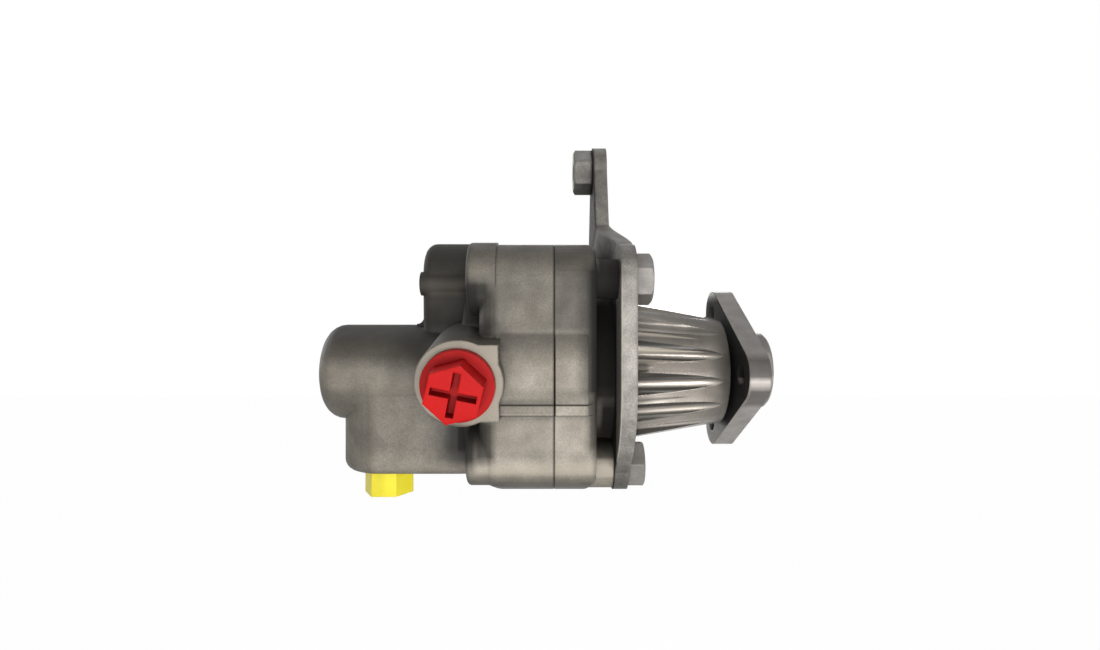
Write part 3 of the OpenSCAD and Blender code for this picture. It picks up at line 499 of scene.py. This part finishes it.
# A plastic's paler edges and the painted shade in its deep corners, as shares of its pale and dark colour,
# and how much that shade shows
PLASTIC_EDGE_PALE = 1.3
PLASTIC_CORNER_SHADE = 0.3
PLASTIC_RECESS_SHADE = 0.6
# How far a plastic's mottle raises and lowers its roughness, and the strength and depth of its bump
PLASTIC_ROUGHER, PLASTIC_SMOOTHER = 0.05, 0.04
PLASTIC_BUMP, PLASTIC_BUMP_DEPTH = 0.12, 0.00003


def moulded_plastic(name, dark, pale, roughness, specular=0.3, pale_edges=0.1, shaded=None):
    """Moulded plastic: nearly even colour, soft edges, painted corner shade, a faint orange-peel bump, maybe
    a shaded part.
    """
    material, tree, shader = new_material(name, 0.0, roughness, specular)
    skin = place_group(tree, CAST_SKIN, grain_scale=700.0, mottle_scale=90.0)
    edge = place_group(tree, EDGE_MASK, radius=0.0005)
    recess = place_group(tree, RECESS_SHADING, reach=0.004)
    mottle = skin.outputs["Mottle"]
    colour = mix_colour(tree, mottle, dark, pale)
    colour = mix_colour(tree, times(tree, edge.outputs["Mask"], pale_edges), colour, tint(pale, PLASTIC_EDGE_PALE))
    # Painted shade in the plastic's corners
    corners = times(tree, recess.outputs["Mask"], PLASTIC_RECESS_SHADE)
    colour = mix_colour(tree, corners, colour, tint(dark, PLASTIC_CORNER_SHADE))
    if shaded:
        place = split(tree, object_place(tree))
        mask = times(tree, shading_and_stain_mask(tree, place, shaded["bands"]), shaded["depth"])
        colour = mix_colour(tree, mask, colour, tint(dark, shaded["shade"]))
    rough = ramp(tree, mottle, 0.0, 1.0, roughness + PLASTIC_ROUGHER, roughness - PLASTIC_SMOOTHER)
    link(tree, colour, shader.inputs["Base Color"])
    link(tree, rough, shader.inputs["Roughness"])
    add_relief(tree, shader, skin.outputs["Height"], edge.outputs["Normal"], PLASTIC_BUMP, PLASTIC_BUMP_DEPTH)
    return material


# The colour of the dark patches, as a share of a metal's dark colour: mostly painted shade, and old oil at
# the joint
SHADE_AND_OIL = 0.04

# Bands along the shaft that several patches share, and where patches on the nose fade in, in millimetres
BOTH_BLOCKS = between(-78.5, -77.5, -44.7, -44.4)
RIB_LENGTH = between(-78.5, -77.5, -53.0, -52.0)
NOSE_FOOT = (-40.2, -39.5)

# Both housings: painted shade along the top and its edge, the bottom, the bulge's edges and the rib's edge
# lines, painted highlights on the low flat and the corner boss, and a dark joint
TOP = shading_and_stain(0.52, SHADE_AND_OIL, z=above(-5, 40))
TOP_EDGE = shading_and_stain(0.3, SHADE_AND_OIL, z=above(32, 36))
BOTTOM = shading_and_stain(0.6, SHADE_AND_OIL, x=between(-89.0, -88.0, -53.0, -51.5), z=below(-29.0, -25.2))
BULGE_HIGH = shading_and_stain(0.4, SHADE_AND_OIL, x=BOTH_BLOCKS, z=between(5.0, 11.5, 12.8, 13.5))
BULGE_LOW = shading_and_stain(0.25, SHADE_AND_OIL, x=BOTH_BLOCKS, z=between(-7.0, -6.2, -3.5, -1.5))
JOINT = shading_and_stain(0.5, SHADE_AND_OIL, x=between(-63.6, -63.3, -62.9, -62.6))
RIB_LINE_HIGH = shading_and_stain(0.8, SHADE_AND_OIL, x=RIB_LENGTH, z=between(-7.0, -6.7, -6.5, -6.2))
RIB_LINE_LOW = shading_and_stain(0.6, SHADE_AND_OIL, x=RIB_LENGTH, z=between(-9.9, -9.7, -9.5, -9.2))
LOW_FLAT_PALE = shading_and_stain(0.12, 1.7, faced=True, x=between(-82, -79, -54, -52),
                      z=between(-20.5, -18.5, -12.0, -10.5))
CORNER_BOSS_PALE = shading_and_stain(0.38, 2.0, x=between(-88.0, -85.0, -50.5, -49.5),
                         z=between(-27.2, -25.8, -23.6, -21.0))

# Rear housing: painted shade on the lobe and its foot, the flat's end, the margins where the block rounds
# away at the rear, the pits, the tube and the outlet block's end; painted highlights on the lobe's rib and,
# partly, on the inlet's machined face, which is paler; the rear, the flat, the rib's face and the outlet
# block are darker
LOBE = shading_and_stain(0.8, SHADE_AND_OIL, x=below(-88.5, -86.5), z=above(4, 16))
LOBE_FOOT = shading_and_stain(0.85, SHADE_AND_OIL, x=between(-92, -87, -82, -78), z=between(18, 24, 26, 30))
LOBE_RIB_PALE = shading_and_stain(0.3, 1.0, x=between(-120, -106, -90, -87), z=between(23.5, 25.5, 28.0, 30.0))
REAR = shading_and_stain(0.22, SHADE_AND_OIL, x=below(-88.0, -84.5))
FLAT = shading_and_stain(0.24, SHADE_AND_OIL, x=between(-84.0, -80.0, -63.2, -63.0), y=above(-40.8, -39.8),
             z=between(-24, -20, 28, 36))
FLAT_END = shading_and_stain(0.8, SHADE_AND_OIL, x=between(-86.0, -84.0, -81.0, -75.5), z=between(11.0, 12.5, 15.0, 19.0))
RIB_FACE = shading_and_stain(0.28, SHADE_AND_OIL, x=between(-78.5, -77.5, -63.2, -63.0), z=between(-9.2, -8.8, -5.5, -4.5))
MARGIN_HIGH = shading_and_stain(0.6, SHADE_AND_OIL, x=between(-86.0, -84.5, -79.5, -78.0), y=below(-34, -30),
                    z=between(13, 16, 21, 26))
MARGIN_LOW = shading_and_stain(0.7, SHADE_AND_OIL, x=between(-85.0, -84.0, -80.5, -78.5), y=below(-34, -30),
                   z=between(-24.0, -21.0, -12.5, -11.0))
PIT_HIGH = shading_and_stain(0.85, SHADE_AND_OIL, x=between(-93.0, -89.0, -84.8, -83.8), z=between(13.5, 16.0, 25.0, 29.0))
PIT_LOW = shading_and_stain(0.85, SHADE_AND_OIL, x=between(-94.5, -91.5, -85.8, -83.8), z=between(-27.0, -22.0, -14.5, -13.0))
PIT_FOOT = shading_and_stain(0.6, SHADE_AND_OIL, x=between(-96.5, -93.5, -83.5, -80.0), z=between(-24.5, -21.5, -14.5, -11.5))
TUBE_TOP = shading_and_stain(0.44, SHADE_AND_OIL, x=below(-103.0, -100.5), z=above(2, 6))
TUBE_SIDE = shading_and_stain(0.45, SHADE_AND_OIL, x=between(-114, -104, -99, -97), z=between(-2, 10, 20, 22))
TUBE_LOW = shading_and_stain(0.28, SHADE_AND_OIL, x=below(-123.5, -119.5), z=between(-12, -9, -5, -3))
TUBE_ROOT = shading_and_stain(0.4, SHADE_AND_OIL, x=between(-118, -106, -102, -100), z=between(-2, 3, 12, 18))
TUBE_END = shading_and_stain(0.25, SHADE_AND_OIL, x=below(-119.0, -116.5), z=below(-6, 2))
OUTLET_BLOCK = shading_and_stain(0.24, SHADE_AND_OIL, x=between(-124, -118, -90, -88), z=between(-26, -21, -6, -2))
OUTLET_BLOCK_END = shading_and_stain(0.65, SHADE_AND_OIL, x=between(-103, -94, -89, -87), z=between(-28, -25, -16, -8))
INLET_FACE_PALE = shading_and_stain(0.8, 1.25, faced=True, x=between(-102.0, -101.0, -76.5, -75.5), y=below(-42.8, -42.0),
                        z=between(-13.5, -13.0, 12.0, 12.5))

# Front housing and nose: painted shadow in the gap before the bracket and on the near edge that turns into
# it, painted shade along the top, on the nose's top, on a land and in the pocket, a painted highlight on the
# foot; the nose is darker towards its end
GAP_HIGH = shading_and_stain(0.92, 0.06, x=between(-51.5, -50.0, -44.7, -44.4), z=above(-10, -6))
GAP_LOW = shading_and_stain(0.9, 0.02, x=between(-49.0, -48.0, -44.7, -44.4), z=between(-21, -16, -10, -6))
EDGE_HIGH = shading_and_stain(0.95, 0.02, x=between(-57.5, -52.5, -44.7, -44.4), z=between(-6, -3, 30, 34))
EDGE_LOW = shading_and_stain(0.75, 0.02, x=between(-55.0, -53.0, -51.5, -50.0), z=between(-22, -18, -6, -3))
FRONT_TOP = shading_and_stain(0.52, SHADE_AND_OIL, x=between(-63.1, -62.9, -48.0, -46.0), z=above(12.5, 14.5))
FOOT_PALE = shading_and_stain(0.8, 1.5, faced=True, x=between(-51.2, -50.5, -44.8, -44.4), z=below(-26.5, -23.5))
NOSE_TOP = shading_and_stain(0.22, SHADE_AND_OIL, x=above(*NOSE_FOOT), z=above(-4, 18))
NOSE_END = shading_and_stain(0.6, SHADE_AND_OIL, x=above(-22, -10))
NOSE_LAND = shading_and_stain(0.5, SHADE_AND_OIL, x=between(*NOSE_FOOT, -20.0, -14.0), z=between(7.5, 9.2, 12.2, 14.0))
NOSE_POCKET = shading_and_stain(0.75, 0.3, x=between(*NOSE_FOOT, -35.0, -32.5), z=between(-0.8, 0.2, 4.0, 5.0))

# Bracket: painted shade on the arm's back, the plate's back and the crank, a painted highlight on a strip of
# the plate's back; the arm is darker upwards, with a darker top, a darker band near the plate's upper corner
# and a darker foot
PLATE_BACK = between(-46.0, -45.0, -44.6, -44.2)
ARM = shading_and_stain(0.32, SHADE_AND_OIL, z=above(20, 45))
ARM_TOP = shading_and_stain(0.2, SHADE_AND_OIL, z=above(52, 60))
ARM_BACK = shading_and_stain(0.85, SHADE_AND_OIL, x=between(-51.0, -50.0, -49.6, -49.0), z=above(36, 42))
BACK = shading_and_stain(0.9, SHADE_AND_OIL, x=PLATE_BACK, y=between(-28.5, -26.5, -12.0, 6.0), z=below(30, 34))
BACK_PALE = shading_and_stain(0.8, 2.6, x=PLATE_BACK, y=below(-28.5, -26.5), z=between(-26, -22, 26, 30))
CRANK = shading_and_stain(0.6, SHADE_AND_OIL, x=between(-51.5, -50.5, -45.2, -44.8), z=between(20, 24, 36, 42))
PLATE_CORNER = shading_and_stain(0.35, SHADE_AND_OIL, x=above(-44.9, -44.6), z=between(31.0, 33.5, 37.0, 39.0))
PLATE_FOOT = shading_and_stain(0.62, SHADE_AND_OIL, z=below(-32, -20))

# Bolts and nut: painted shadow on the shanks in the gap before the bracket, and a darker nut
NUT = shading_and_stain(0.68, SHADE_AND_OIL, z=above(45, 55))
BOLT_SHANK = shading_and_stain(0.9, SHADE_AND_OIL, x=between(-53.0, -51.5, -44.7, -44.4))

# Drive hub, with the edge of its near lobe: painted shade on the flange's back, in the near hole, on the tops
# of the hub and pilot, and above and below a painted highlight on the near lobe's edge
NEAR_LOBE = below(-12, -8)
FLANGE_BACK = shading_and_stain(0.95, SHADE_AND_OIL, x=between(-8.0, -7.0, -6.5, -6.2), z=between(-21, -16, 23, 29))
NEAR_HOLE = shading_and_stain(0.9, SHADE_AND_OIL, x=between(-7.0, -6.4, -1.0, -0.5), y=between(-26.2, -25.8, -18.0, -17.5),
                  z=between(-7.0, -6.5, 6.5, 7.0))
HUB_TOP = shading_and_stain(0.22, SHADE_AND_OIL, z=above(2, 10))
PILOT_TOP = shading_and_stain(0.2, SHADE_AND_OIL, x=above(0.0, 0.5), z=above(3.0, 5.5))
LOBE_EDGE_HIGH = shading_and_stain(0.62, SHADE_AND_OIL, x=between(-7.5, -6.2, 0.5, 2.0), y=NEAR_LOBE,
                       z=between(-1.0, 0.2, 5.0, 7.0))
LOBE_EDGE_PALE = shading_and_stain(0.6, 2.2, x=above(-6.5, -5.5), y=NEAR_LOBE, z=between(-3.2, -2.4, -1.4, -0.8))
LOBE_EDGE_LOW = shading_and_stain(0.55, SHADE_AND_OIL, x=between(-6.5, -5.5, 0.5, 2.0), y=NEAR_LOBE,
                      z=between(-10.0, -8.5, -4.2, -3.4))

# Plugs: painted shade on the red disc behind its head, and on the yellow plug's left half
X_OUTLET = (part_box("outlet_plug")[0][0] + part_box("outlet_plug")[1][0]) / 2 / MM
RED_DISC = shading_and_stain(0.3, 0.2, y=above(-51.5, -50.0))
YELLOW_LEFT = shading_and_stain(0.15, 0.2, x=below(X_OUTLET - 1, X_OUTLET + 1))

# Streaks along the nose's flutes, painted highlights where the shade is above 1 and painted shade where it is
# below:
# middle and half width in degrees, the tip in millimetres, depth and shade
NOSE_LIGHT_AND_SHADE_STREAKS = (
    (40.5, 3.0, -12, 0.45, 2.2),
    (34.5, 4.0, -16, 0.55, 2.2),
    (21.6, 3.8, -14, 0.85, 2.3),
    (16.2, 2.2, -15, 0.60, 0.1),
    (11.4, 2.8, -16, 0.75, 2.0),
    (3.0, 4.0, -13, 0.25, 0.1),
    (-12.0, 5.0, -12, 0.65, 0.1),
    (-20.2, 4.0, -20, 0.85, 0.1),
    (-40.5, 3.2, -13, 0.55, 0.1),
    (-53.5, 5.0, -18, 0.80, 2.4),
)

# The castings' own colours, and the machined nose in front of the bracket
BODY_GREY = (0.216, 0.193, 0.157)
BODY_PALE = (0.332, 0.300, 0.248)
NOSE_FINISH = {
    "dark": (0.230, 0.204, 0.175),
    "pale": (0.320, 0.288, 0.253),
    "metallic": 0.3,
    "roughness": 0.24,
    "wall_shade": 0.95,
    "turn_shade_share": 0.6,
}

FINISHES = {
    "body_casting": metal(
        "body_casting", BODY_GREY, BODY_PALE, 0.12, 0.55, edge_radius=0.001, pale_edges=0.3, speckle=0.4,
        grain_scale=1500.0, mottle_scale=150.0, grain_depth=0.00006, recess_shade=0.9, reach=0.014, turn_shade=0.78,
        shadings_and_stains=(CORNER_BOSS_PALE, LOBE, LOBE_RIB_PALE, REAR, TUBE_END, TOP, FLAT, MARGIN_HIGH, MARGIN_LOW,
                TUBE_SIDE, PIT_HIGH, PIT_LOW, BULGE_HIGH, BULGE_LOW, BOTTOM, JOINT, RIB_LINE_HIGH,
                RIB_LINE_LOW, TUBE_TOP, TUBE_LOW, TUBE_ROOT, OUTLET_BLOCK, OUTLET_BLOCK_END, LOBE_FOOT,
                FLAT_END, RIB_FACE, LOW_FLAT_PALE, TOP_EDGE, PIT_FOOT, INLET_FACE_PALE),
        near_only=True),
    "nose_casting": metal(
        "nose_casting", BODY_GREY, BODY_PALE, 0.12, 0.55, edge_radius=0.0003, pale_edges=0.3, speckle=0.4,
        grain_scale=1500.0, mottle_scale=150.0, grain_depth=0.00004, recess_shade=0.9, reach=0.012, turn_shade=0.78,
        front=NOSE_FINISH,
        shadings_and_stains=(GAP_HIGH, EDGE_HIGH, EDGE_LOW, GAP_LOW, CORNER_BOSS_PALE, FOOT_PALE, TOP, FRONT_TOP, NOSE_TOP,
                NOSE_END, NOSE_LAND, NOSE_POCKET, BOTTOM, BULGE_HIGH, BULGE_LOW, JOINT, RIB_LINE_HIGH,
                RIB_LINE_LOW, LOW_FLAT_PALE, TOP_EDGE),
        streaks=NOSE_LIGHT_AND_SHADE_STREAKS, near_only=True),
    "bracket_steel": metal(
        "bracket_steel", (0.180, 0.168, 0.151), (0.345, 0.322, 0.292), 0.3, 0.5, edge_radius=0.0012,
        speckle=0.55, grain_scale=1200.0, mottle_scale=220.0, grain_depth=0.00004, reach=0.01,
        shadings_and_stains=(ARM, ARM_BACK, BACK, BACK_PALE, CRANK, PLATE_CORNER, ARM_TOP, PLATE_FOOT)),
    "bolt_steel": metal(
        "bolt_steel", (0.16, 0.148, 0.136), (0.23, 0.214, 0.198), 0.3, 0.45, edge_radius=0.0006, speckle=0.3,
        shadings_and_stains=(NUT, BOLT_SHANK)),
    "hub_steel": metal(
        "hub_steel", (0.186, 0.170, 0.156), (0.275, 0.256, 0.238), 0.35, 0.42, edge_radius=0.0008, turn_shade=0.1,
        shadings_and_stains=(FLANGE_BACK, NEAR_HOLE, HUB_TOP, PILOT_TOP, LOBE_EDGE_HIGH, LOBE_EDGE_PALE, LOBE_EDGE_LOW)),
    "bright_steel": metal("bright_steel", (0.50, 0.50, 0.51), (0.60, 0.60, 0.61), 0.85, 0.25, speckle=0.05),
    "sintered_steel": metal("sintered_steel", (0.26, 0.26, 0.27), (0.34, 0.34, 0.35), 0.7, 0.45),
    "spring_steel": metal(
        "spring_steel", (0.11, 0.11, 0.12), (0.17, 0.17, 0.18), 0.8, 0.4, edge_radius=0.0002),
    "bronze": metal("bronze", (0.42, 0.25, 0.09), (0.52, 0.33, 0.13), 0.8, 0.35, speckle=0.08),
    "rubber": moulded_plastic("rubber", (0.015, 0.015, 0.015), (0.028, 0.028, 0.028), 0.6),
    # The red plastic's paler edges are a painted highlight along them
    "red_plastic": moulded_plastic(
        "red_plastic", (0.39, 0.005, 0.005), (0.47, 0.007, 0.007), 0.42, 0.1, pale_edges=0.3, shaded=RED_DISC),
    "yellow_plastic": moulded_plastic(
        "yellow_plastic", (0.70, 0.59, 0.018), (0.78, 0.68, 0.035), 0.4, 0.25, shaded=YELLOW_LEFT),
}

for part in frame["record"]["subparts"]:
    piece = frame["nodes"][part["node"]]
    piece.data.materials.clear()
    piece.data.materials.append(FINISHES[part["material_slot"]])


# The spring behind the spool: its wire and the spool's travel in metres, its turns, and its mesh's steps
SPRING_WIRE_R = 0.8 * MM
SPRING_TURNS = 6
SPRING_STEPS = 40
SPRING_SIDES = 12


def make_valve_spring():
    """The spring behind the spool, a round wire wound into a helix around the valve's axis.

    A point lies away from the axis by the helix's radius plus the wire's radius times the cosine of its angle
    around the wire, and along the axis by its share of the turns plus the wire's radius times that sine.
    """
    low, high = (np.array(corner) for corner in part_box("valve_spring"))
    centre = (low + high) / 2
    length = high[0] - low[0]
    helix_r = (high[1] - low[1]) / 2 - SPRING_WIRE_R
    count = SPRING_TURNS * SPRING_STEPS + 1
    share = np.linspace(0.0, 1.0, count)[:, None]
    turn = 2 * np.pi * SPRING_TURNS * share
    wire = 2 * np.pi * np.arange(SPRING_SIDES)[None, :] / SPRING_SIDES
    reach = helix_r + SPRING_WIRE_R * np.cos(wire)
    along = low[0] + SPRING_WIRE_R + (length - 2 * SPRING_WIRE_R) * share + SPRING_WIRE_R * np.sin(wire)
    across = centre[1] + reach * np.cos(turn)
    up = centre[2] + reach * np.sin(turn)
    points = np.stack([along, across, up], axis=-1)
    ring = np.arange(SPRING_SIDES)
    after = (ring + 1) % SPRING_SIDES
    start = SPRING_SIDES * np.arange(count - 1)[:, None]
    end = start + SPRING_SIDES
    skin = np.stack([start + ring, start + after, end + after, end + ring], axis=-1)
    faces = skin.reshape(-1, 4).tolist()
    faces += [ring[::-1].tolist(), (SPRING_SIDES * (count - 1) + ring).tolist()]
    mesh = bpy.data.meshes.new("valve_spring_coil")
    mesh.from_pydata(points.reshape(-1, 3).tolist(), [], faces)
    mesh.polygons.foreach_set("use_smooth", np.ones(len(faces), dtype=bool))
    mesh.materials.append(FINISHES["spring_steel"])
    coil = bpy.data.objects.new("valve_spring_coil", mesh)
    bpy.context.collection.objects.link(coil)
    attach(coil, "pump")
    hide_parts("valve_spring")
    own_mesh(coil)


def make_camera():
    """The photograph's camera: level, square to the shaft, with the lens that its perspective gives."""
    data = bpy.data.cameras.new("camera")
    data.sensor_width = SENSOR_MM
    data.lens = FOCAL_PX / PHOTO_W * SENSOR_MM
    data.clip_start = 0.01
    camera = bpy.data.objects.new("camera", data)
    camera.location = CAMERA_AT
    camera.rotation_euler = (math.pi / 2, 0.0, 0.0)
    bpy.context.collection.objects.link(camera)
    bpy.context.scene.camera = camera


# The floor's half width and its distance under the pump in metres, and the share of it that glows
FLOOR_HALF = 3.0
FLOOR_DROP = 0.33
FLOOR_GREY = 0.86
FLOOR_GLOW = 0.985


def make_floor():
    """A wide pale floor well under the pump, which is carried by its bracket."""
    level = cad_box[0][2] - FLOOR_DROP
    corners = [(x * FLOOR_HALF, y * FLOOR_HALF, level) for x, y in ((-1, -1), (1, -1), (1, 1), (-1, 1))]
    mesh = bpy.data.meshes.new("floor")
    mesh.from_pydata(corners, [], [(0, 1, 2, 3)])
    floor = bpy.data.objects.new("floor", mesh)
    bpy.context.collection.objects.link(floor)
    material, tree, shader = new_material("pale_floor", 0.0, 0.9)
    shader.inputs["Base Color"].default_value = (FLOOR_GREY, FLOOR_GREY, FLOOR_GREY, 1.0)
    glow = add(tree, "ShaderNodeEmission")
    glow.inputs["Strength"].default_value = 1.0
    path = add(tree, "ShaderNodeLightPath")
    seen = math_node(tree, "MAXIMUM", path.outputs["Is Camera Ray"], path.outputs["Is Glossy Ray"])
    mix = add(tree, "ShaderNodeMixShader")
    link(tree, times(tree, seen, FLOOR_GLOW), mix.inputs["Fac"])
    link(tree, shader.outputs["BSDF"], mix.inputs[1])
    link(tree, glow.outputs["Emission"], mix.inputs[2])
    link(tree, mix.outputs["Shader"], tree.nodes["Material Output"].inputs["Surface"])
    mesh.materials.append(material)


# The surround's strength as a fill light, beside 1 for what the camera and the metal see
FILL = 0.10


def make_world():
    """A white surround for what the camera and the metal see, and a softer fill for the rest."""
    world = bpy.data.worlds.new("studio")
    bpy.context.scene.world = world
    world.use_nodes = True
    tree = world.node_tree
    back = tree.nodes["Background"]
    path = add(tree, "ShaderNodeLightPath")
    seen = math_node(tree, "MAXIMUM", path.outputs["Is Camera Ray"], path.outputs["Is Glossy Ray"])
    seen = math_node(tree, "MAXIMUM", seen, path.outputs["Is Transmission Ray"])
    back.inputs["Color"].default_value = (1.0, 1.0, 1.0, 1.0)
    link(tree, ramp(tree, seen, 0.0, 1.0, FILL, 1.0), back.inputs["Strength"])


def make_lamp(name, at, target, size, power):
    """A square soft lamp aimed at a point."""
    data = bpy.data.lights.new(name, "AREA")
    data.size = size
    data.energy = power
    lamp = bpy.data.objects.new(name, data)
    lamp.location = at
    lamp.rotation_euler = (Vector(target) - Vector(at)).to_track_quat("-Z", "Y").to_euler()
    bpy.context.collection.objects.link(lamp)


# The lamps: place, target and side in metres, and power in watts
CENTRE = (Vector(cad_box[0]) + Vector(cad_box[1])) / 2
NOSE = (-0.025, -0.02, 0.0)
LAMPS = (
    ("front_lamp", (-0.05, -0.60, -0.10), CENTRE, 0.3, 2.9),
    ("right_lamp", (0.26, -0.55, -0.13), CENTRE, 0.16, 1.3),
    ("upper_accent", (0.22, -0.40, 0.40), NOSE, 0.08, 0.6),
    ("lower_accent", (0.16, -0.25, -0.33), NOSE, 0.08, 0.14),
    ("top_lamp", (-0.05, 0.20, 0.75), CENTRE, 0.5, 1.2),
    ("back_lamp", (0.05, 0.65, 0.15), CENTRE, 0.4, 2.6),
    ("left_lamp", (-0.65, 0.25, 0.20), CENTRE, 0.4, 1.6),
)

make_valve_spring()
make_camera()
make_floor()
make_world()
for lamp in LAMPS:
    make_lamp(*lamp)

bpy.context.scene.view_settings.view_transform = "Standard"
